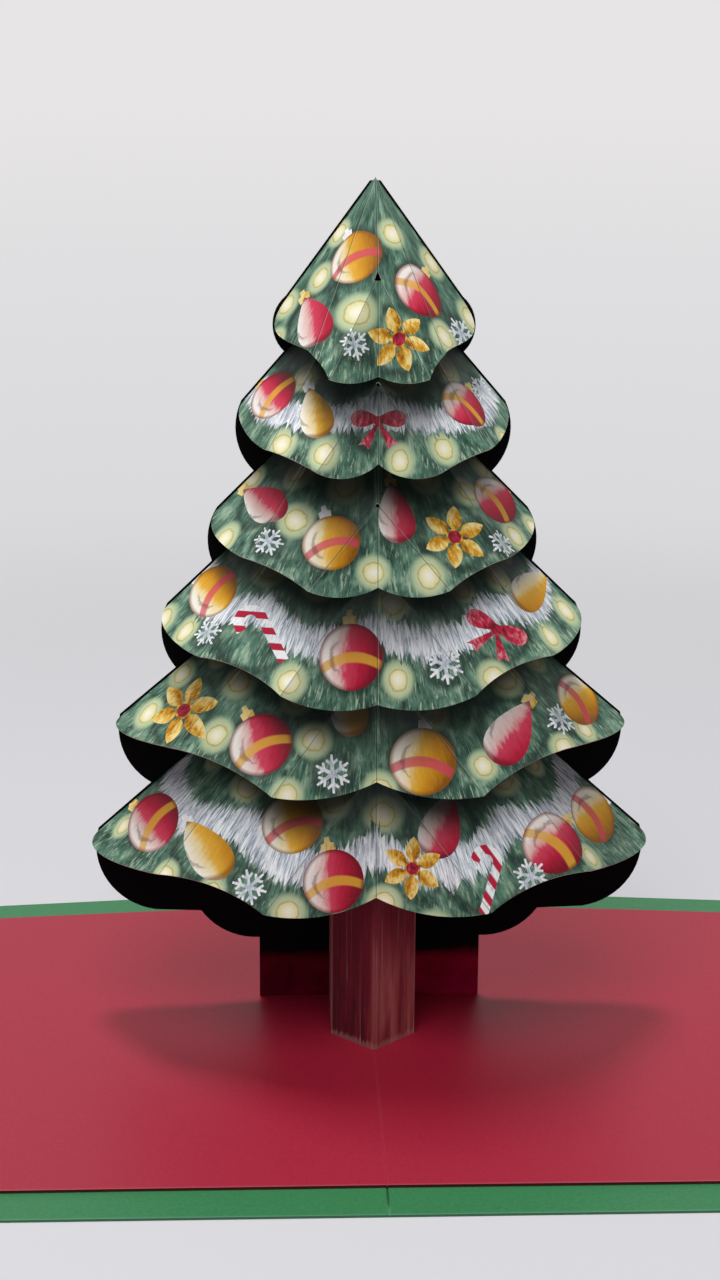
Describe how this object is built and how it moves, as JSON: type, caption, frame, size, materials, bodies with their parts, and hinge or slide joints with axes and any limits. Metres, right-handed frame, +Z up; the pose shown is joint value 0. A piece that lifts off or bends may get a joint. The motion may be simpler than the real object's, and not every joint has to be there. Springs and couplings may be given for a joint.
{
  "type": "pop up card",
  "caption": "Opened greeting card with a folded paper fir tree of overlapping tiers standing up across its gutter fold.",
  "frame": {"origin": "on the table under the middle of the open card", "axes": "+X across the two leaves, to the right as seen from the front; +Y along the gutter to the back; +Z up"},
  "size_m": [0.356, 0.127, 0.1553],
  "materials": {
    "cover_card": "matt green card",
    "liner_sheet": "matt red paper",
    "tree_panel": "matt black card",
    "trunk_column": "matt dark red card, black inside",
    "tier_1": "printed coated paper, black on the back",
    "tier_2": "printed coated paper, black on the back",
    "tier_3": "printed coated paper, black on the back",
    "tier_4": "printed coated paper, black on the back",
    "tier_5": "printed coated paper, black on the back",
    "tier_6": "printed coated paper, black on the back"
  },
  "bodies": {
    "root": {"cover_card": "cover_card", "liner_sheet": "liner_sheet", "tree_panel": "tree_panel", "trunk_column": "trunk_column", "tier_1": "tier_1", "tier_2": "tier_2", "tier_3": "tier_3", "tier_4": "tier_4", "tier_5": "tier_5", "tier_6": "tier_6"}
  },
  "joints": []
}
